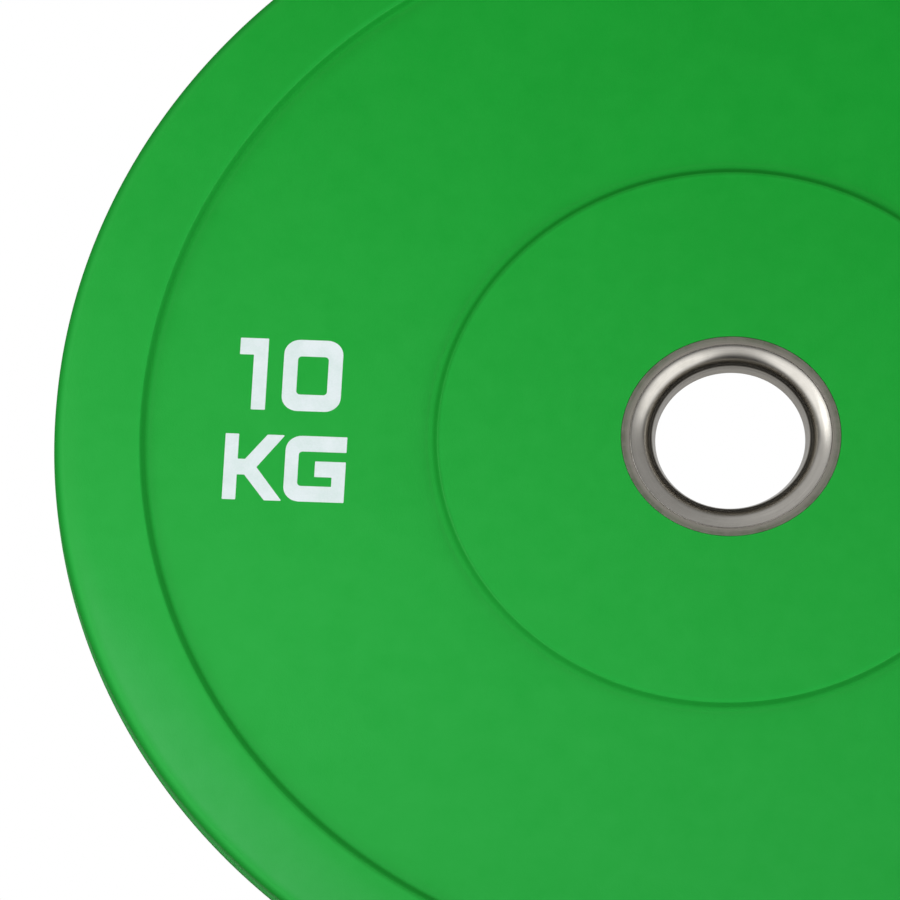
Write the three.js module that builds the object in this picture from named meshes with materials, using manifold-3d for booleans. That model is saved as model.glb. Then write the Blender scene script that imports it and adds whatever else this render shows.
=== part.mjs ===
// A 10 kg bumper plate for a barbell: a rubber disc moulded round a steel insert.
// It stands on its tread with its bore along Y, its front face towards -Y and its origin at
// the middle of the bore. The pieces are modelled lying flat, and the group sets them upright.
// Lengths are in millimetres. An outline gives radius r from the bore's axis and height z
// from the middle plane. Both faces of the plate are alike.

import * as THREE from 'three';
import { mergeVertices } from 'three/addons/utils/BufferGeometryUtils.js';
import Module from 'manifold-3d';

const wasm = await Module();
wasm.setup();

// Whole plate
const plateRadius = 225;
const plateThickness = 53;
const boreRadius = 25.3;
const seatGap = 0.3; // between pieces that touch

// Rubber moulding
const rimWidth = 28;
const hubRadius = 98.6;
const dishDepth = 3.5;
const stepLean = 2; // how far the wall of a step leans towards the dish
const stepCrestRound = 0.8;
const stepFootRound = 2;
const shoulderWidth = 8;
const shoulderDrop = 0.7;
const shoulderRound = 50;
const treadEdgeRound = 3.5;

// Core ring and the sheet liners
const ringRadius = 37.1;
const ringEdgeRound = 0.5;
const insertSetback = 0.3; // below the hub's face
const linerSheet = 1.2;
const throatWidening = 1.2; // of the bore's radius, from the middle out to the mouth's round
const mouthRound = 9.3;
const lipShare = 0.27; // of the ring's wall, left bare outside the liner's edge

// Anchor flange
const flangeRadius = 60;
const flangeThickness = 4;
const flangeHoleShare = 0.56; // of the flange's width outside its weld
const flangeHoleCount = 12;
const weldLeg = 3;

// Facets
const plateSegments = 76;
const insertSegments = 44;
const holeSegments = 12;
const mouthSteps = 6;
const roundStep = THREE.MathUtils.degToRad(31);

const faceHeight = plateThickness / 2;
const lipHeight = faceHeight - insertSetback;
const throatRadius = boreRadius + throatWidening;
const sheetSeat = linerSheet + seatGap; // from a liner's polished face to the ring
const lipWidth = lipShare * (ringRadius - throatRadius);
const rebateRadius = ringRadius - lipWidth;
const edgeRadius = rebateRadius - seatGap; // where the liners' sheet ends
const mouthReach = throatRadius + mouthRound - edgeRadius; // from that edge to the round's centre
const mouthHeight = lipHeight - Math.sqrt(mouthRound ** 2 - mouthReach ** 2);
const seam = seatGap / 2; // from the middle plane to the inner end of a liner
const pocketRadius = ringRadius + seatGap;
const weldRadius = pocketRadius + weldLeg;
const flangePitchRadius = (weldRadius + flangeRadius) / 2;
const flangeHoleRadius = (flangeHoleShare * (flangeRadius - weldRadius)) / 2;

function corner(r, z, round = 0) {
  return { r, z, round };
}

// The same outline on the lower side, run on so that both make one loop
function mirrored(outline) {
  return outline.toReversed().map((point) => ({ ...point, z: -point.z }));
}

// Rounds each corner of a closed loop with an arc that is tangent to both its sides
function roundCorners(corners) {
  return corners.flatMap((point, i) => {
    if (point.round === 0) return [point];
    const here = new THREE.Vector2(point.r, point.z);
    const before = corners.at(i - 1);
    const after = corners[(i + 1) % corners.length];
    const back = new THREE.Vector2(before.r, before.z).sub(here).normalize();
    const ahead = new THREE.Vector2(after.r, after.z).sub(here).normalize();
    const halfAngle = Math.acos(back.dot(ahead)) / 2;
    const turn = Math.PI - 2 * halfAngle;
    const middle = back.clone().add(ahead).normalize();
    const centre = middle.clone().multiplyScalar(point.round / Math.sin(halfAngle)).add(here);
    const side = Math.sign(back.cross(ahead));
    const steps = Math.max(1, Math.ceil(turn / roundStep));
    return Array.from({ length: steps + 1 }, (_, step) => {
      const angle = side * turn * (0.5 - step / steps);
      const spoke = middle.clone().negate().rotateAround(new THREE.Vector2(), angle);
      const place = spoke.multiplyScalar(point.round).add(centre);
      return corner(place.x, place.y);
    });
  });
}

// How much further out a round form's corners are than its flats, which keep the true radius
function cornerRatio(segments) {
  return 1 / Math.cos(Math.PI / segments);
}

// Turns a closed outline, run counter-clockwise, about Z. A flat, not a corner, is lowest.
function revolve(outline, segments) {
  const ratio = cornerRatio(segments);
  const points = [...outline, outline[0]].map(({ r, z }) => new THREE.Vector2(r * ratio, z));
  return new THREE.LatheGeometry(points, segments, Math.PI / segments).rotateX(Math.PI / 2);
}

function toSolid(geometry) {
  const bare = geometry.clone();
  bare.deleteAttribute('normal');
  bare.deleteAttribute('uv');
  const merged = mergeVertices(bare);
  return new wasm.Manifold(
    new wasm.Mesh({
      numProp: 3,
      vertProperties: new Float32Array(merged.attributes.position.array),
      triVerts: new Uint32Array(merged.index.array),
    }),
  );
}

function toGeometry(solid) {
  const { vertProperties, triVerts } = solid.getMesh();
  const geometry = new THREE.BufferGeometry();
  geometry.setAttribute('position', new THREE.BufferAttribute(vertProperties, 3));
  geometry.setIndex(new THREE.BufferAttribute(triVerts, 1));
  geometry.computeVertexNormals();
  return geometry;
}

function circle(x, y, radius, segments) {
  const reach = radius * cornerRatio(segments);
  return Array.from({ length: segments }, (_, i) => {
    const angle = ((i + 0.5) / segments) * 2 * Math.PI;
    return new THREE.Vector2(x + reach * Math.cos(angle), y + reach * Math.sin(angle));
  });
}

// A flat ring about the middle plane, drilled with the anchor flange's holes
function drilledRing(outerRadius, innerRadius, holeRadius, thickness) {
  const shape = new THREE.Shape(circle(0, 0, outerRadius, insertSegments));
  shape.holes.push(new THREE.Path(circle(0, 0, innerRadius, insertSegments)));
  for (let i = 0; i < flangeHoleCount; i += 1) {
    const angle = ((i + 0.5) / flangeHoleCount) * 2 * Math.PI;
    const x = flangePitchRadius * Math.cos(angle);
    const y = flangePitchRadius * Math.sin(angle);
    shape.holes.push(new THREE.Path(circle(x, y, holeRadius, holeSegments)));
  }
  const ring = new THREE.ExtrudeGeometry(shape, { depth: thickness, bevelEnabled: false });
  return ring.translate(0, 0, -thickness / 2);
}

// The fillet weld between the core ring and one side of the flange, seen from the ring's side.
// Set out by the seat gap, it is the hollow that the weld leaves in the rubber.
function weldCorners(wallRadius, outset) {
  const flangeFace = flangeThickness / 2 + seatGap;
  return [
    corner(wallRadius, flangeFace + weldLeg + outset * (Math.SQRT2 - 1)),
    corner(wallRadius + weldLeg + outset * (Math.SQRT2 - 1), flangeFace),
  ];
}

// The mouth of the bore at a depth below its polished face, from the throat out to the edge of
// the sheet. Both faces of a liner and the nose of the ring under it are this curve.
function mouthCurve(depth) {
  const round = mouthRound - depth;
  const edgeAngle = Math.asin(mouthReach / round);
  return Array.from({ length: mouthSteps + 1 }, (_, step) => {
    const angle = THREE.MathUtils.lerp(Math.PI / 2, edgeAngle, step / mouthSteps);
    const r = edgeRadius + mouthReach - round * Math.sin(angle);
    return corner(r, mouthHeight + round * Math.cos(angle));
  });
}

function rubberPlate() {
  const rimRadius = plateRadius - rimWidth;
  const dishHeight = faceHeight - dishDepth;
  const upper = [
    corner(plateRadius, faceHeight - shoulderDrop, treadEdgeRound),
    corner(plateRadius - shoulderWidth, faceHeight, shoulderRound),
    corner(rimRadius, faceHeight, stepCrestRound),
    corner(rimRadius - stepLean, dishHeight, stepFootRound),
    corner(hubRadius + stepLean, dishHeight, stepFootRound),
    corner(hubRadius, faceHeight, stepCrestRound),
    corner(pocketRadius, faceHeight),
    ...weldCorners(pocketRadius, seatGap),
  ];
  const outline = roundCorners([...upper, ...mirrored(upper)]);
  const moulding = toSolid(revolve(outline, plateSegments));
  const flangeSpace = drilledRing(
    flangeRadius + seatGap,
    ringRadius,
    flangeHoleRadius - seatGap,
    flangeThickness + 2 * seatGap,
  );
  return toGeometry(moulding.subtract(toSolid(flangeSpace)));
}

function coreRing() {
  const nose = mouthCurve(sheetSeat);
  const upper = [
    corner(ringRadius, flangeThickness / 2 + seatGap),
    ...weldCorners(ringRadius, 0).toReversed(),
    corner(ringRadius, lipHeight, Math.min(ringEdgeRound, lipWidth / 2)),
    corner(rebateRadius, lipHeight),
    corner(rebateRadius, nose.at(-1).z),
    ...nose.toReversed(),
    corner(boreRadius + sheetSeat, seam),
  ];
  return revolve(roundCorners([...upper, ...mirrored(upper)]), insertSegments);
}

// One half of the bore's lining, from the seam at the middle plane out to the ring's rebate
function liner() {
  const polished = [corner(boreRadius, seam), ...mouthCurve(0)];
  const hidden = [corner(boreRadius + linerSheet, seam), ...mouthCurve(linerSheet)];
  return revolve([...hidden, ...polished.toReversed()], insertSegments);
}

function anchorFlange() {
  return drilledRing(flangeRadius, pocketRadius, flangeHoleRadius, flangeThickness);
}

function finish(color, roughness, metalness) {
  return new THREE.MeshStandardMaterial({ color, roughness, metalness });
}

const greenRubber = finish(0x24a13b, 0.6, 0);
const polishedStainless = finish(0xcfccc6, 0.22, 1);
const turnedSteel = finish(0x8b877c, 0.45, 1);
const plainSteel = finish(0x6c6e70, 0.6, 1);

function piece(name, geometry, material) {
  const mesh = new THREE.Mesh(geometry, material);
  mesh.name = name;
  return mesh;
}

const rearLiner = piece('rear_liner', liner(), polishedStainless);
rearLiner.rotation.x = Math.PI;

const bumperPlate = new THREE.Group();
bumperPlate.add(
  piece('rubber_plate', rubberPlate(), greenRubber),
  piece('core_ring', coreRing(), turnedSteel),
  piece('anchor_flange', anchorFlange(), plainSteel),
  piece('front_liner', liner(), polishedStainless),
  rearLiner,
);
bumperPlate.rotation.x = Math.PI / 2;

export default bumperPlate;
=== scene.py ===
import math
import bmesh
import bpy
from mathutils import Matrix, Vector


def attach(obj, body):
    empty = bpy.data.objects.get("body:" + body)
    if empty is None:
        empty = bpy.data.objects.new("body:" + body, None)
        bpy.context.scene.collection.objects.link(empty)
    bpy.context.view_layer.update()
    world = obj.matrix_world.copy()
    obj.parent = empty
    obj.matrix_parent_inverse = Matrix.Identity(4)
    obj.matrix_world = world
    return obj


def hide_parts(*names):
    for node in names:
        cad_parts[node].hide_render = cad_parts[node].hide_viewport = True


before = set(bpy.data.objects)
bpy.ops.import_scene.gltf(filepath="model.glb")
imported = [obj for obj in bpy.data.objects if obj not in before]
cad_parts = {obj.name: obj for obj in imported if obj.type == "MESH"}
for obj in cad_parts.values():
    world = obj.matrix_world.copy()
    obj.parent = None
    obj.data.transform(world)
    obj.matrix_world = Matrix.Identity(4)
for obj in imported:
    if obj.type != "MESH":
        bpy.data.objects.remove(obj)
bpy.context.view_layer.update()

# Lengths in these dictionaries are millimetres. The plate's bore lies along Y and its front
# faces towards -Y. An outline gives radius r from the bore and height h above the middle plane.
millimetre = 0.001

plate = {
    "radius": 225.0,
    "thickness": 53.0,
    "rimWidth": 28.0,
    "hubRadius": 98.6,
    "dishDepth": 3.5,
    "stepLean": 2.0,
    "crestRound": 0.8,
    "footRound": 2.0,
    "shoulderWidth": 8.0,
    "shoulderDrop": 0.7,
    "shoulderRound": 50.0,
    "treadEdgeRound": 3.5,
    "treadInset": 0.15,  # the tread lies this much inside the parting line
    "partingWidth": 1.1,
    "partingRound": 0.2,
    "pocketHug": 0.06,  # between the ring and the rubber that was moulded against it, at the face
    "hugDepth": 1.5,
    "pocketEdgeRound": 0.15,
    "seatGap": 0.3,
    "segments": 384,
    "smoothAngle": 24,
}

insert = {
    "ringRadius": 37.1,
    "boreRadius": 25.3,
    "throatWidening": 1.2,
    "linerSheet": 1.2,
    "setback": 0.1,  # below the hub's face
    "edgeRound": 0.25,
    "mouthRound": 9.3,
    "lipShare": 0.27,  # of the ring's wall, left bare outside the liner's edge
    "rebateEdgeRound": 0.1,
    "sheetEdgeRound": 0.2,
    "sheetEdgeGap": 0.06,  # between the sheet's edge and the wall of the rebate
    "weldLeg": 3.0,
    "segments": 256,
    "mouthSteps": 40,
    "smoothAngle": 40,
}

flange = {
    "radius": 60.0,
    "thickness": 4.0,
    "holeShare": 0.56,
    "holeCount": 12,
    "segments": 44,
    "holeSegments": 24,
}

gap = plate["seatGap"]
faceHeight = plate["thickness"] / 2
dishHeight = faceHeight - plate["dishDepth"]
rimRadius = plate["radius"] - plate["rimWidth"]
pocketRadius = insert["ringRadius"] + gap
hugRadius = insert["ringRadius"] + plate["pocketHug"]
weldRadius = pocketRadius + insert["weldLeg"]
flangePitch = (weldRadius + flange["radius"]) / 2
flangeHole = flange["holeShare"] * (flange["radius"] - weldRadius) / 2


class Shade:  # one output socket of a material; arithmetic on it adds Math nodes
    def __init__(self, tree, socket):
        self.tree = tree
        self.socket = socket

    def node(self, kind, settings=None, inputs=None, output=0):
        made = self.tree.nodes.new(kind)
        for name, value in (settings or {}).items():
            setattr(made, name, value)
        for name, value in (inputs or {}).items():
            if isinstance(value, Shade):
                self.tree.links.new(value.socket, made.inputs[name])
            else:
                made.inputs[name].default_value = value
        return Shade(self.tree, made.outputs[output] if made.outputs else None)

    def math(self, operation, *values):
        return self.node("ShaderNodeMath", {"operation": operation}, dict(enumerate(values)))

    def __add__(self, other):
        return self.math("ADD", self, other)

    def __radd__(self, other):
        return self.math("ADD", other, self)

    def __sub__(self, other):
        return self.math("SUBTRACT", self, other)

    def __rsub__(self, other):
        return self.math("SUBTRACT", other, self)

    def __mul__(self, other):
        return self.math("MULTIPLY", self, other)

    def __rmul__(self, other):
        return self.math("MULTIPLY", other, self)

    def __truediv__(self, other):
        return self.math("DIVIDE", self, other)

    def __rtruediv__(self, other):
        return self.math("DIVIDE", other, self)

    def between(self, low, high):  # 0 below low, 1 above high, a smooth step between them
        return self.node("ShaderNodeMapRange", {"interpolation_type": "SMOOTHSTEP"},
                         {"Value": self, "From Min": low, "From Max": high})

    def band(self, rise, fall):  # 1 from the end of the first reach to the start of the second
        return self.between(*rise) * (1 - self.between(*fall))

    def clamp(self):
        return self.node("ShaderNodeClamp", None, {"Value": self})

    def larger(self, other):
        return self.math("MAXIMUM", self, other)

    def root(self):
        return self.math("SQRT", self)

    def size(self):
        return self.math("ABSOLUTE", self)

    def blend(self, low, high):  # a colour from low to high, with this as the factor
        return self.node("ShaderNodeMix", {"data_type": "RGBA"},
                         {0: self, 6: colour(low), 7: colour(high)}, 2)


def colour(value):
    return value if isinstance(value, Shade) else (*value, 1)


def startMaterial(name):
    material = bpy.data.materials.new(name)
    material.use_nodes = True
    tree = material.node_tree
    tree.nodes.clear()
    return material, Shade(tree, None)


def finishMaterial(material, start, shaderInputs):
    shader = start.node("ShaderNodeBsdfPrincipled", None, shaderInputs)
    start.node("ShaderNodeOutputMaterial", None, {"Surface": shader})
    return material


def readPlace(start):
    # where a point of the surface lies: its vector, its radius from the bore and its parts
    vector = start.node("ShaderNodeTexCoord", None, None, 3)
    split = {axis: start.node("ShaderNodeSeparateXYZ", None, {"Vector": vector}, i)
             for i, axis in enumerate("xyz")}
    radius = (split["x"] * split["x"] + split["z"] * split["z"]).root()
    return vector, radius, split


def along(split, toward):
    # how far a point lies towards the direction with this x and z
    return split["x"] * toward[0] + split["z"] * toward[1]


def grain(start, vector, size, detail=2.0, roughness=0.5):
    # noise whose features are about size metres across, from 0 to 1
    return start.node("ShaderNodeTexNoise", {"noise_dimensions": "3D"},
                      {"Vector": vector, "Scale": 1 / size, "Detail": detail,
                       "Roughness": roughness})


def bump(start, height, distance, strength=1.0, normal=None):
    inputs = {"Height": height, "Distance": distance, "Strength": strength}
    if normal:
        inputs["Normal"] = normal
    return start.node("ShaderNodeBump", None, inputs)


# A reach is where an effect sets in and where it is whole: a radius, height or distance in
# metres, or a level of the noise for a tone. A band is the reach in which it sets in and the
# one in which it fades out again.
greenRubber = {
    "base": (0.0030, 0.325, 0.0230),
    "deep": (0.0025, 0.308, 0.0210),
    "mottleShare": 0.6,
    "cloudShare": 0.4,
    "toneReach": (0.35, 0.65),
    "paintedLightTone": (0.0190, 0.398, 0.053),  # painted light and sheen: lighter and paler towards the bottom, a little to the left
    "paintedLightToward": (-0.35, -0.9),
    "paintedLightReach": (-0.22, 0.29),
    "paintedLightStrength": 0.8,
    "paintedLightCloud": 0.4,  # what the clouds add to that strength
    "paintedSheen": (0.057, 0.412, 0.104),  # painted sheen on the rim, at the lower left
    "paintedSheenToward": (-0.743, -0.669),
    "paintedSheenReach": (0.185, 0.222),
    "paintedSheenBand": ((0.197, 0.206), (0.2195, 0.2225)),
    "paintedSheenStrength": 0.37,
    "paintedSheenCloud": 0.3,
    "edge": (0.0015, 0.26, 0.018),  # painted shade round the tread's edges
    "treadShadeReach": (0.2224, 0.2249),
    "treadShadeHeights": (0.004, 0.0220),
    "pale": (0.012, 0.40, 0.045),  # on the crests of the steps: wear in clouds, and a painted highlight on the side that faces the light
    "paleBand": ((-0.0003, 0.0002), (0.0006, 0.0022)),
    "paleCloud": 0.5,
    "paleGlintStrength": 0.4,  # a painted highlight, on the side where the painted shade line is weakest
    "paleGlintSide": (0.1, 0.9),
    "paintedShadeTone": (0.001, 0.205, 0.010),  # painted shade in the walls of the steps
    "paintedShadeHeights": (-0.0013, 0.0006),  # above the dish
    # painted shade on the dish along the foot of each step
    "filletShadeBand": ((-0.0003, 0.0005), (0.0008, 0.0060)),
    "filletShadeStrength": 0.13,
    "mottleSize": 0.055,
    "cloudSize": 0.009,
    "grainSize": 0.0007,
    "grainDepth": 0.00003,
    "swellStrength": 0.35,
    "specular": 0.25,
    "roughness": 0.34,
    "cloudRoughness": 0.16,
    "grainRoughness": 0.1,
    "treadReach": (0.2215, 0.2248),
    "treadRoughness": 0.55,  # more than the faces
    "stepBand": ((0, 0.0006), (0.0026, 0.0042)),
    "stepRoughness": 0.4,
}

# The painted shade line in the wall of each step is strongest, widest and nearest to the crest where
# the wall faces away from the light, as "facing" says. "strength" and "inset" give a mean and the
# most by which they differ from it, "width" the reach over which the line fades, and "spread" the
# share by which that grows.
stepLines = {
    "rim": {"crest": rimRadius, "side": -1, "facing": (0.26, 0.966),
            "inset": (1.7, 1.1), "strength": (0.25, 0.35), "width": (0.4, 1.5), "spread": 0.6},
    "hub": {"crest": plate["hubRadius"], "side": 1, "facing": (-0.34, 0.94),
            "inset": (0.2, 0.0), "strength": (0.3, 0.28), "width": (0.4, 1.5), "spread": 0.15},
}


def stepMarks(radius, split, cloud):
    # what marks the two steps: pale crests of wear with a painted highlight, painted shade lines in
    # the walls and along the fillets, and a matt band
    look = greenRubber
    pale = dark = filletShade = matt = 0
    for step in stepLines.values():
        side = step["side"]
        facing = along(split, step["facing"]) / radius * side
        inward = (radius - step["crest"] * millimetre) * side
        # painted highlight on the crests whose walls face the light, added to the wear in clouds
        away = (0 - facing).between(*look["paleGlintSide"])
        rubbed = cloud * look["paleCloud"] + away * look["paleGlintStrength"]
        pale = pale + (0 - inward).band(*look["paleBand"]) * rubbed
        inset, drift = step["inset"]
        off = inward - inset * millimetre + facing * (drift * millimetre)
        width = [w * millimetre for w in step["width"]]
        line = 1 - (off.size() / (1 + facing * step["spread"])).between(*width)
        strength, swing = step["strength"]
        dark = dark + line * (strength + facing * swing)
        filletShade = filletShade + off.band(*look["filletShadeBand"]) * look["filletShadeStrength"]
        matt = matt + inward.band(*look["stepBand"])
    above = split["y"].size() - dishHeight * millimetre
    dark = dark.clamp() * above.between(*look["paintedShadeHeights"])
    return pale.clamp(), (dark + filletShade).clamp(), matt


def makeGreenRubber():
    look = greenRubber
    material, start = startMaterial("green_rubber")
    vector, radius, split = readPlace(start)
    mottle = grain(start, vector, look["mottleSize"], 3)
    cloud = grain(start, vector, look["cloudSize"], 4, 0.6)
    fine = grain(start, vector, look["grainSize"], 2, 0.6)
    tone = mottle * look["mottleShare"] + cloud * look["cloudShare"]
    body = tone.between(*look["toneReach"]).blend(look["deep"], look["base"])
    # painted light and sheen: the rubber is lighter and paler towards the bottom left
    paintedLight = along(split, look["paintedLightToward"]).between(*look["paintedLightReach"])
    paintedLight = paintedLight * (look["paintedLightStrength"] + cloud * look["paintedLightCloud"])
    body = paintedLight.clamp().blend(body, look["paintedLightTone"])
    # painted sheen on the rim's shoulder at the lower left
    paintedSheen = along(split, look["paintedSheenToward"]).between(*look["paintedSheenReach"])
    paintedSheen = paintedSheen * radius.band(*look["paintedSheenBand"])
    paintedSheen = paintedSheen * (look["paintedSheenStrength"] + cloud * look["paintedSheenCloud"])
    body = paintedSheen.clamp().blend(body, look["paintedSheen"])
    # painted shade: the tread and its edge rounds are darker
    edge = radius.between(*look["treadShadeReach"]) * split["y"].size().between(*look["treadShadeHeights"])
    body = edge.blend(body, look["edge"])
    pale, dark, matt = stepMarks(radius, split, cloud)
    # pale crests: wear with a painted highlight
    body = pale.blend(body, look["pale"])
    # painted shade in the walls of the steps and on the dish along their feet
    body = dark.blend(body, look["paintedShadeTone"])
    rough = look["roughness"] + (cloud - 0.5) * look["cloudRoughness"]
    rough = rough + (fine - 0.5) * look["grainRoughness"]
    rough = rough + radius.between(*look["treadReach"]) * look["treadRoughness"]
    rough = rough + matt * look["stepRoughness"]
    pits = bump(start, fine, look["grainDepth"])
    swell = bump(start, cloud, look["grainDepth"] * 2, look["swellStrength"], pits)
    return finishMaterial(material, start, {
        "Base Color": body,
        "Roughness": rough.clamp(),
        "Specular IOR Level": look["specular"],
        "Normal": swell,
    })


steelLooks = {
    "polished_stainless": {
        "clean": (0.75, 0.72, 0.665),
        "dull": (0.55, 0.525, 0.465),
        "roughness": 0.2,
        "spread": 0.12,
        "lineSize": 0.00035,
        "lineDepth": 0.000004,
        "stain": 0.35,
        "stainFrom": (-0.002, -0.001),  # radii between which the stains set in
        "grime": 0,
        # how strongly the painted shade near the mouths shows
        "rubbed": 0.7,
        "edgeTint": (0.3, 0.29, 0.27),
    },
    "turned_steel": {
        "clean": (0.72, 0.67, 0.60),
        "dull": (0.25, 0.28, 0.20),
        "roughness": 0.47,
        "spread": 0.22,
        "lineSize": 0.0005,
        "lineDepth": 0.000012,
        "stain": 0.4,
        "stainFrom": (0.0344, 0.0364),
        "grime": 0.6,
        "rubbed": 0,
        "edgeTint": (0.7, 0.66, 0.62),
    },
    "plain_steel": {
        "clean": (0.24, 0.245, 0.25),
        "dull": (0.12, 0.115, 0.11),
        "roughness": 0.55,
        "spread": 0.2,
        "lineSize": 0.002,
        "lineDepth": 0.00002,
        "stain": 0.9,
        "stainFrom": (-0.002, -0.001),
        "grime": 0,
        "rubbed": 0,
        "edgeTint": (0.7, 0.7, 0.7),
    },
}


# Painted shade: darker near each mouth of the bore, on its upper side
upperThroatShade = {
    "tone": (0.33, 0.315, 0.29),
    "heights": ((0.008, 0.016), (0.0222, 0.0242)),
    "upReach": (-0.1, 0.6),
}


steelWear = {  # shared by all the steel
    "circleScale": 1.6,  # how fast the lathe's lines change along the circle
    "lineReach": (0.3, 0.7),
    "lineTone": 0.35,
    "blotchSize": 0.006,
    "blotchReach": (0.42, 0.68),
    "blotchShare": 0.7,
    "speckSize": 0.0009,
    "speckReach": (0.55, 0.8),
    "speckShare": 0.3,
    "innerStain": 0.3,  # the share of its stains that the steel has inside "stainFrom"
    "stainRoughness": 0.12,
    "pitStrength": 0.4,
}


def makeSteel(name):
    look = {**steelWear, **steelLooks[name]}
    material, start = startMaterial(name)
    vector, radius, split = readPlace(start)
    # the lathe's lines run round the bore: fast across the outline, slow along the circle
    across = (radius + split["y"].size()) / look["lineSize"]
    turned = start.node("ShaderNodeCombineXYZ", None, {
        "X": across,
        "Y": split["x"] / radius * look["circleScale"],
        "Z": split["z"] / radius * look["circleScale"],
    })
    lines = start.node("ShaderNodeTexNoise", None,
                       {"Vector": turned, "Scale": 1.0, "Detail": 3.0, "Roughness": 0.6})
    blotch = grain(start, vector, look["blotchSize"], 4, 0.6)
    speck = grain(start, vector, look["speckSize"])
    stain = (blotch.between(*look["blotchReach"]) * look["blotchShare"]
             + speck.between(*look["speckReach"]) * look["speckShare"]) * look["stain"]
    outer = radius.between(*look["stainFrom"])
    share = look["innerStain"] + outer * (1 - look["innerStain"])
    stain = stain * share + outer * look["grime"]
    tone = stain.clamp().blend(look["clean"], look["dull"])
    tone = (lines.between(*look["lineReach"]) * look["lineTone"]).blend(tone, look["dull"])
    # painted shade on the upper side of the throat, near each mouth
    upper = (split["z"] / radius).between(*upperThroatShade["upReach"])
    rubbed = split["y"].size().band(*upperThroatShade["heights"]) * upper * look["rubbed"]
    tone = rubbed.blend(tone, upperThroatShade["tone"])
    rough = look["roughness"] + (lines - 0.5) * look["spread"] + stain * look["stainRoughness"]
    ridges = bump(start, lines, look["lineDepth"])
    pits = bump(start, speck, look["lineDepth"] * 2, look["pitStrength"], ridges)
    return finishMaterial(material, start, {
        "Base Color": tone,
        "Metallic": 1.0,
        "Specular Tint": (*look["edgeTint"], 1),
        "Roughness": rough.clamp(),
        "Normal": pits,
    })


whitePrint = {
    "base": (0.75, 0.82, 0.845),
    "thin": (0.65, 0.76, 0.75),
    "toneReach": (0.3, 0.7),
    "patchSize": 0.008,
    "patchShare": 0.7,
    "grainSize": 0.0006,
    "grainShare": 0.3,
    "grainDepth": 0.00002,
    "grainStrength": 0.6,
    "roughness": 0.48,
    "grainRoughness": 0.2,
}


def makeWhitePrint():
    look = whitePrint
    material, start = startMaterial("white_print")
    vector, *_ = readPlace(start)
    patch = grain(start, vector, look["patchSize"], 3)
    fine = grain(start, vector, look["grainSize"])
    tone = patch * look["patchShare"] + fine * look["grainShare"]
    tone = tone.between(*look["toneReach"]).blend(look["thin"], look["base"])
    rough = look["roughness"] + (fine - 0.5) * look["grainRoughness"]
    return finishMaterial(material, start, {
        "Base Color": tone,
        "Roughness": rough.clamp(),
        "Normal": bump(start, fine, look["grainDepth"], look["grainStrength"]),
    })


materials = {
    "green_rubber": makeGreenRubber(),
    "white_print": makeWhitePrint(),
    **{name: makeSteel(name) for name in steelLooks},
}
print("materials made:", ", ".join(sorted(materials)))


def corner(r, h, rounding=0.0):
    return (r, h, rounding)


def mirrored(outline):
    return [(r, -h, rounding) for r, h, rounding in reversed(outline)]


def roundCorners(corners, steps=6):
    # rounds each corner of a closed outline with an arc that is tangent to both its sides
    points = []
    for i, (r, h, rounding) in enumerate(corners):
        here = Vector((r, h))
        if rounding == 0:
            points.append(here)
            continue
        before = Vector(corners[i - 1][:2])
        after = Vector(corners[(i + 1) % len(corners)][:2])
        back = (before - here).normalized()
        ahead = (after - here).normalized()
        halfAngle = math.acos(max(-1, min(1, back.dot(ahead)))) / 2
        turn = math.pi - 2 * halfAngle
        middle = (back + ahead).normalized()
        centre = here + middle * (rounding / math.sin(halfAngle))
        side = 1 if back.cross(ahead) > 0 else -1
        for step in range(steps + 1):
            spoke = Matrix.Rotation(side * turn * (0.5 - step / steps), 2) @ -middle
            points.append(centre + spoke * rounding)
    return points


def revolve(name, outline, segments):
    # turns a closed outline of (r, h) points about the bore, with the front at -Y
    mesh = bpy.data.meshes.new(name)
    shape = bmesh.new()
    rings = []
    for i in range(segments):
        angle = 2 * math.pi * i / segments
        across, up = math.cos(angle), math.sin(angle)
        rings.append([shape.verts.new((p[0] * across * millimetre, -p[1] * millimetre,
                                       p[0] * up * millimetre)) for p in outline])
    for i, ring in enumerate(rings):
        after = rings[(i + 1) % segments]
        for j in range(len(outline)):
            k = (j + 1) % len(outline)
            shape.faces.new((ring[j], ring[k], after[k], after[j]))
    bmesh.ops.recalc_face_normals(shape, faces=shape.faces)
    shape.to_mesh(mesh)
    shape.free()
    return mesh


def place(name, mesh, slot, replaced=None, smoothAngle=30):
    piece = bpy.data.objects.new(name, mesh)
    bpy.context.scene.collection.objects.link(piece)
    mesh.materials.clear()
    mesh.materials.append(materials[slot])
    mesh.shade_smooth()
    mesh.set_sharp_from_angle(angle=math.radians(smoothAngle))
    even = piece.modifiers.new("evenNormals", "WEIGHTED_NORMAL")
    even.keep_sharp = True
    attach(piece, "root")
    if replaced:
        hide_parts(replaced)
    print("placed", name, "with", len(mesh.polygons), "faces")
    return piece


def ringCorners(x, y, radius, segments):
    reach = radius / math.cos(math.pi / segments)
    return [(x + reach * math.cos((i + 0.5) / segments * 2 * math.pi),
             y + reach * math.sin((i + 0.5) / segments * 2 * math.pi)) for i in range(segments)]


def weldCorners(wall, outset):
    face = flange["thickness"] / 2 + gap
    leg = insert["weldLeg"] + outset * (math.sqrt(2) - 1)
    return [corner(wall, face + leg), corner(wall + leg, face)]


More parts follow.
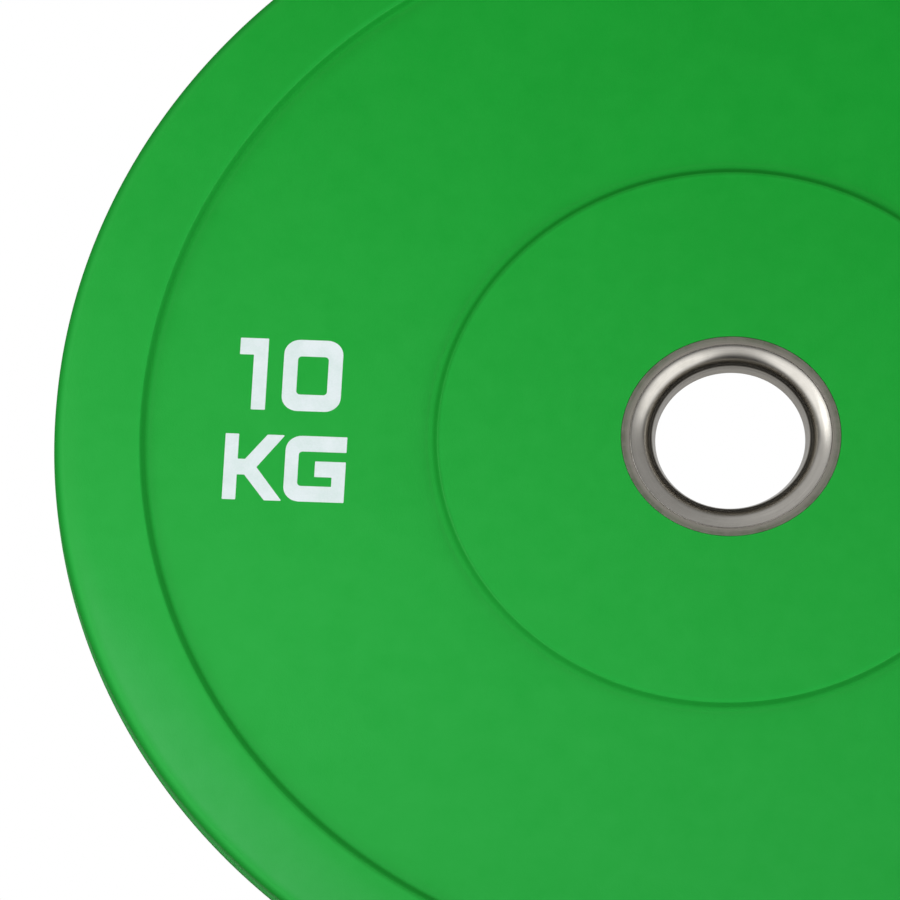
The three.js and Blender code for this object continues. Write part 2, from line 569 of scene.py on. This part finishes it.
def flangeSpace():
    # the drilled ring of space that the flange needs in the rubber, as a solid to cut away
    half = flange["thickness"] / 2 + gap
    loops = [ringCorners(0, 0, flange["radius"] + gap, flange["segments"]),
             ringCorners(0, 0, insert["ringRadius"], flange["segments"])]
    for i in range(flange["holeCount"]):
        angle = (i + 0.5) / flange["holeCount"] * 2 * math.pi
        loops.append(ringCorners(flangePitch * math.cos(angle), flangePitch * math.sin(angle),
                                 flangeHole - gap, flange["holeSegments"]))
    # Its sides are filled and its walls made one by one, because an extrusion's faces come in an
    # order that changes from run to run.
    shape = bmesh.new()
    sides = []
    for height in (-half, half):
        rows = [[shape.verts.new((x * millimetre, height * millimetre, z * millimetre))
                 for x, z in loop] for loop in loops]
        edges = [shape.edges.new((row[i], row[(i + 1) % len(row)]))
                 for row in rows for i in range(len(row))]
        bmesh.ops.triangle_fill(shape, use_beauty=True, edges=edges)
        sides.append(rows)
    for near, far in zip(*sides):
        for i in range(len(near)):
            k = (i + 1) % len(near)
            shape.faces.new((near[i], near[k], far[k], far[i]))
    bmesh.ops.recalc_face_normals(shape, faces=shape.faces)
    mesh = bpy.data.meshes.new("flangeSpace")
    shape.to_mesh(mesh)
    shape.free()
    return mesh


def cutAway(mesh, cutter):
    # the mesh less the cutter, as a new mesh with no modifier left on it
    body = bpy.data.objects.new("cutBody", mesh)
    tool = bpy.data.objects.new("cutTool", cutter)
    for item in (body, tool):
        bpy.context.scene.collection.objects.link(item)
    cut = body.modifiers.new("cut", "BOOLEAN")
    cut.operation = "DIFFERENCE"
    cut.solver = "EXACT"
    cut.object = tool
    solved = body.evaluated_get(bpy.context.evaluated_depsgraph_get())
    result = bpy.data.meshes.new_from_object(solved)
    for item in (body, tool):
        bpy.data.objects.remove(item)
    return result


def makeRubberPlate():
    tread = plate["radius"] - plate["treadInset"]
    halfLine = plate["partingWidth"] / 2
    upper = [
        corner(plate["radius"], 0.0),
        corner(tread, halfLine, plate["partingRound"]),
        corner(tread, faceHeight - plate["shoulderDrop"], plate["treadEdgeRound"]),
        corner(plate["radius"] - plate["shoulderWidth"], faceHeight, plate["shoulderRound"]),
        corner(rimRadius, faceHeight, plate["crestRound"]),
        corner(rimRadius - plate["stepLean"], dishHeight, plate["footRound"]),
        corner(plate["hubRadius"] + plate["stepLean"], dishHeight, plate["footRound"]),
        corner(plate["hubRadius"], faceHeight, plate["crestRound"]),
        corner(hugRadius, faceHeight, plate["pocketEdgeRound"]),
        corner(hugRadius, faceHeight - plate["hugDepth"]),
        corner(pocketRadius, faceHeight - plate["hugDepth"] - gap),
        *weldCorners(pocketRadius, gap),
    ]
    outline = roundCorners(upper + mirrored(upper)[:-1])
    body = revolve("rubberBody", outline, plate["segments"])
    return place("moulded_rubber", cutAway(body, flangeSpace()), "green_rubber",
                 "rubber_plate", plate["smoothAngle"])


throatRadius = insert["boreRadius"] + insert["throatWidening"]
sheetSeat = insert["linerSheet"] + gap
lipHeight = faceHeight - insert["setback"]
rebateRadius = insert["ringRadius"] - insert["lipShare"] * (insert["ringRadius"] - throatRadius)
edgeRadius = rebateRadius - insert["sheetEdgeGap"]
mouthReach = throatRadius + insert["mouthRound"] - edgeRadius  # from the edge to the round's centre
mouthHeight = lipHeight - math.sqrt(insert["mouthRound"] ** 2 - mouthReach ** 2)


def mouthCurve(depth):
    # the flare of the bore's mouth at a depth below its polished face, from the throat out
    around = insert["mouthRound"] - depth
    edgeAngle = math.asin(mouthReach / around)
    points = []
    for step in range(insert["mouthSteps"] + 1):
        angle = math.pi / 2 + (edgeAngle - math.pi / 2) * step / insert["mouthSteps"]
        points.append(corner(edgeRadius + mouthReach - around * math.sin(angle),
                             mouthHeight + around * math.cos(angle)))
    return points


def makeCoreRing():
    nose = mouthCurve(sheetSeat)
    upper = [
        corner(insert["ringRadius"], flange["thickness"] / 2 + gap),
        *reversed(weldCorners(insert["ringRadius"], 0)),
        corner(insert["ringRadius"], lipHeight, insert["edgeRound"]),
        corner(rebateRadius, lipHeight, insert["rebateEdgeRound"]),
        corner(rebateRadius, nose[-1][1]),
        *reversed(nose),
        corner(insert["boreRadius"] + sheetSeat, gap / 2),
    ]
    outline = roundCorners(upper + mirrored(upper))
    return place("turned_core_ring", revolve("coreRing", outline, insert["segments"]),
                 "turned_steel", "core_ring", insert["smoothAngle"])


def makeLiner(side, replaced):
    seam = gap / 2
    polished = [corner(insert["boreRadius"], seam), *mouthCurve(0)]
    r, h, _ = polished[-1]
    polished[-1] = corner(r, h, insert["sheetEdgeRound"])
    hidden = [corner(insert["boreRadius"] + insert["linerSheet"], seam),
              *mouthCurve(insert["linerSheet"])]
    outline = roundCorners(hidden + polished[::-1])
    if side < 0:
        outline = [Vector((p[0], -p[1])) for p in outline]
    return place(f"pressed_{replaced}", revolve(replaced, outline, insert["segments"]),
                 "polished_stainless", replaced, insert["smoothAngle"])


makeRubberPlate()
makeCoreRing()
makeLiner(1, "front_liner")
makeLiner(-1, "rear_liner")
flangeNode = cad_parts["anchor_flange"]
flangeNode.data.materials.clear()
flangeNode.data.materials.append(materials["plain_steel"])
print("anchor_flange keeps its CAD solid")


mark = {
    "left": -168.5,
    "top": 30.0,
    "film": 0.05,
    "sunk": 0.01,  # into the rubber
    "edgeRound": 0.25,
    "edgeSteps": 8,
    "mergeDistance": 0.0005,
    "digitHeight": 26.3,
    "digitStem": 4.7,
    "digitBar": 6.1,
    "oneLeft": 3.05,
    "oneWidth": 9.35,
    "zeroLeft": 17.7,
    "zeroWidth": 19.6,
    "cornerRound": 5.3,
    "counterRound": 1.3,
    "lineDrop": 35.4,  # from the top of the digits to the top of the letters
    "letterHeight": 24.2,
    "letterStem": 4.45,
    "letterBar": 5.75,
    "kWidth": 19.7,
    "kStub": 6.9,
    "kWaist": 10.8,
    "kArm": 5.8,
    "gLeft": 20.1,
    "gWidth": 20.2,
    "gBarWidth": 10.2,
    "gGap": 3.5,
}


def glyphOne():
    w, s, b, h = mark["oneWidth"], mark["digitStem"], mark["digitBar"], mark["digitHeight"]
    return [[(0, 0), (w, 0), (w, -h), (w - s, -h), (w - s, -b), (0, -b)]]


def glyphZero():
    w, s, b, h = mark["zeroWidth"], mark["digitStem"], mark["digitBar"], mark["digitHeight"]
    o, c = mark["cornerRound"], mark["counterRound"]
    outer = [(0, 0, o), (w, 0, o), (w, -h, o), (0, -h, o)]
    counter = [(s, -b, c), (w - s, -b, c), (w - s, b - h, c), (s, b - h, c)]
    return [outer, counter]


def glyphK():
    w, s, h = mark["kWidth"], mark["letterStem"], mark["letterHeight"]
    stub, waist, arm = mark["kStub"], mark["kWaist"], mark["kArm"]
    high = -h / 2 + mark["letterBar"] / 2
    low = -h / 2 - mark["letterBar"] / 2
    return [[(0, 0), (s, 0), (s, high), (stub, high), (w - arm, 0), (w, 0), (waist, -h / 2),
             (w, -h), (w - arm, -h), (stub, low), (s, low), (s, -h), (0, -h)]]


def glyphG():
    w, s, b, h = mark["gWidth"], mark["letterStem"], mark["letterBar"], mark["letterHeight"]
    o, c = mark["cornerRound"], mark["counterRound"]
    bar = -b - mark["gGap"]
    inner = w - mark["gBarWidth"]
    return [[(0, 0, o), (w, 0), (w, -b), (s, -b, c), (s, b - h, c), (w - s, b - h),
             (w - s, bar - b), (inner, bar - b), (inner, bar), (w, bar), (w, -h), (0, -h, o)]]


def makeFilm(name, loops, left, top):
    # a film of ink on the dish, with its corners rounded as printing leaves them
    curve = bpy.data.curves.new(name, "CURVE")
    curve.dimensions = "2D"
    curve.fill_mode = "BOTH"
    curve.extrude = mark["film"] / 2 * millimetre
    for loop in loops:
        corners = [(*p, mark["edgeRound"]) if len(p) == 2 else p for p in loop]
        points = roundCorners(corners, mark["edgeSteps"])
        spline = curve.splines.new("POLY")
        spline.points.add(len(points) - 1)
        for point, spot in zip(spline.points, points):
            point.co = ((left + spot.x) * millimetre, (top + spot.y) * millimetre, 0, 1)
        spline.use_cyclic_u = True
    drawn = bpy.data.objects.new(name, curve)
    bpy.context.scene.collection.objects.link(drawn)
    solved = drawn.evaluated_get(bpy.context.evaluated_depsgraph_get())
    mesh = bpy.data.meshes.new_from_object(solved)
    bpy.data.objects.remove(drawn)
    height = dishHeight - mark["sunk"] + mark["film"] / 2
    upright = Matrix.Rotation(math.pi / 2, 4, "X")
    mesh.transform(Matrix.Translation((0, -height * millimetre, 0)) @ upright)
    shape = bmesh.new()
    shape.from_mesh(mesh)
    bmesh.ops.remove_doubles(shape, verts=shape.verts, dist=mark["mergeDistance"] * millimetre)
    bmesh.ops.recalc_face_normals(shape, faces=shape.faces)
    shape.to_mesh(mesh)
    shape.free()
    return place(name, mesh, "white_print")


def makeMark():
    left, top = mark["left"], mark["top"]
    below = top - mark["lineDrop"]
    makeFilm("print_one", glyphOne(), left + mark["oneLeft"], top)
    makeFilm("print_zero", glyphZero(), left + mark["zeroLeft"], top)
    makeFilm("print_k", glyphK(), left, below)
    makeFilm("print_g", glyphG(), left + mark["gLeft"], below)


makeMark()


room = {
    "floorRadius": 0.92,
    "floorSegments": 96,
    "floorFade": (0.30, 0.88),
    "floorTones": ((0.86, 0.86, 0.85), (0.88, 0.88, 0.87)),
    "floorPatch": 0.05,
    "floorRoughness": 0.7,
    "worldFill": 0.65,
    "glossDark": 0.03,  # what gloss sees straight in front and at the sides
    "glossAboveLeft": 0.48,
    "glossAboveRight": 0.31,
    "glossBelow": 0.62,
    "glossBehind": 1.0,
    "behindReach": (0.8, 0.97),
    "acrossReach": (-0.5, 0.5),
    "belowReach": (-0.15, 0.15),
    "upReach": (0.0, 0.3),
    "partedDown": (0.0, 0.35),
    "partedAcross": (0.10, 0.5),
    "ringRise": (-0.95, -0.84),
    "ringRiseUp": (0.03, 0.05),  # how much further ahead it sets in above
    "ringFall": (-0.4, 0.0),
    "ringFallUp": 0.15,
    "ringFallParted": (0.35, 0.14),
    "softboxes": ((-0.668, -0.582, -0.464), (0.666, -0.457, -0.590)),
    "softboxLevel": 0.55,
    "softboxReach": (0.80, 0.94),
}


def makeFloor():
    mesh = bpy.data.meshes.new("floor")
    shape = bmesh.new()
    bmesh.ops.create_circle(shape, cap_ends=True, segments=room["floorSegments"],
                            radius=room["floorRadius"])
    shape.to_mesh(mesh)
    shape.free()
    floor = bpy.data.objects.new("floor", mesh)
    floor.location.z = -plate["radius"] * millimetre
    floor.visible_glossy = False
    bpy.context.scene.collection.objects.link(floor)
    material, start = startMaterial("pale_floor")
    vector, _, split = readPlace(start)
    fade = (split["x"] * split["x"] + split["y"] * split["y"]).root().between(*room["floorFade"])
    tone = grain(start, vector, room["floorPatch"], 3).blend(*room["floorTones"])
    solid = start.node("ShaderNodeBsdfPrincipled", None, {
        "Base Color": tone, "Roughness": room["floorRoughness"]})
    clear = start.node("ShaderNodeBsdfTransparent")
    mixed = start.node("ShaderNodeMixShader", None, {0: fade, 1: solid, 2: clear})
    start.node("ShaderNodeOutputMaterial", None, {"Surface": mixed})
    mesh.materials.append(material)


def makeWorld():
    world = bpy.data.worlds.new("studio")
    bpy.context.scene.world = world
    world.use_nodes = True
    world.cycles.sampling_method = "NONE"  # so that gloss and matt rays each see their own level
    world.node_tree.nodes.clear()
    start = Shade(world.node_tree, None)
    seen = [start.node("ShaderNodeLightPath", None, None, name)
            for name in ("Is Camera Ray", "Is Glossy Ray", "Is Transmission Ray")]
    direction = start.node("ShaderNodeTexCoord", None, None, 0)
    back = start.node("ShaderNodeSeparateXYZ", None, {"Vector": direction}, 1)
    across = start.node("ShaderNodeSeparateXYZ", None, {"Vector": direction}, 0)
    down = 0 - start.node("ShaderNodeSeparateXYZ", None, {"Vector": direction}, 2)
    rightness = across.between(*room["acrossReach"])
    above = (room["glossAboveLeft"]
             + rightness * (room["glossAboveRight"] - room["glossAboveLeft"]))
    pale = above + down.between(*room["belowReach"]) * (room["glossBelow"] - above)
    # Gloss sees a pale ring round the object, ahead of it. Straight below, less of the ring
    # shows, which parts the two softboxes, and above it reaches further back.
    parted = down.between(*room["partedDown"]) * (1 - across.size().between(*room["partedAcross"]))
    up = (0 - down).between(*room["upReach"])
    rise = [edge - up * shift for edge, shift in zip(room["ringRise"], room["ringRiseUp"])]
    fall = [edge + up * room["ringFallUp"] - parted * shift
            for edge, shift in zip(room["ringFall"], room["ringFallParted"])]
    ahead = room["glossDark"] + back.band(rise, fall) * (pale - room["glossDark"])
    for toward in room["softboxes"]:
        nearness = start.node("ShaderNodeVectorMath", {"operation": "DOT_PRODUCT"},
                              {0: direction, 1: toward}, 1)
        ahead = ahead + nearness.between(*room["softboxReach"]) * room["softboxLevel"]
    gloss = ahead + back.between(*room["behindReach"]) * (room["glossBehind"] - ahead)
    clear = seen[0].larger(seen[2])
    level = room["worldFill"] + seen[1] * (gloss - room["worldFill"])
    level = level + clear * (1 - level)
    shader = start.node("ShaderNodeBackground", None,
                        {"Color": (1, 1, 1, 1), "Strength": level})
    start.node("ShaderNodeOutputWorld", None, {"Surface": shader})


lamps = {
    "lowLamp": {"place": (-0.29, -0.60, -0.14), "size": (0.4, 0.08), "power": 0.90, "shines": False},
    "glintLamp": {"place": (-0.38, -0.56, -0.06), "size": (0.4, 0.19), "power": 0.19, "shines": True},
    "leftLamp": {"place": (-1.25, -1.45, -0.12), "size": (1.3, 1.3), "power": 5.4, "shines": False},
    "rightLamp": {"place": (1.6, -0.9, -0.05), "size": (1.3, 1.3), "power": 6, "shines": False},
    "rearLamp": {"place": (0.8, 2.2, 1.4), "size": (1.6, 1.6), "power": 20, "shines": False},
}


def makeLamps():
    for name, lamp in lamps.items():
        light = bpy.data.lights.new(name, "AREA")
        light.shape = "RECTANGLE"
        light.size, light.size_y = lamp["size"]
        light.energy = lamp["power"]
        holder = bpy.data.objects.new(name, light)
        bpy.context.scene.collection.objects.link(holder)
        holder.location = lamp["place"]
        holder.rotation_euler = (-Vector(lamp["place"])).to_track_quat("-Z", "Y").to_euler()
        holder.visible_camera = False
        holder.visible_glossy = lamp["shines"]


# The photograph is squeezed in height, which only a camera with leaning axes repeats: across
# and up are its image's axes and back is the way it looks, reversed.
camera = {
    "place": (-0.147817, -15.137036, -1.005809),
    "across": (0.72760, -0.68581, -0.01642),
    "up": (-0.04510, -0.63878, 0.76806),
    "back": (-0.00356, -0.99782, -0.06583),
    "lens": 1329.4527,
    "sensor": 36,
    "reach": (1.0, 60.0),
}


def makeCamera():
    lens = bpy.data.cameras.new("camera")
    lens.lens = camera["lens"]
    lens.sensor_width = camera["sensor"]
    lens.clip_start, lens.clip_end = camera["reach"]
    holder = bpy.data.objects.new("camera", lens)
    stand = bpy.data.objects.new("cameraStand", None)
    for item in (holder, stand):
        bpy.context.scene.collection.objects.link(item)
    axes = [Vector(camera[name]).normalized() for name in ("across", "up", "back")]
    columns = [[*axis, 0] for axis in axes] + [[*camera["place"], 1]]
    holder.parent = stand
    holder.matrix_parent_inverse = Matrix(columns).transposed()
    bpy.context.scene.camera = holder


makeFloor()
makeWorld()
makeLamps()
makeCamera()
view = bpy.context.scene.view_settings
view.view_transform = "Standard"
print("studio, lamps and camera made")
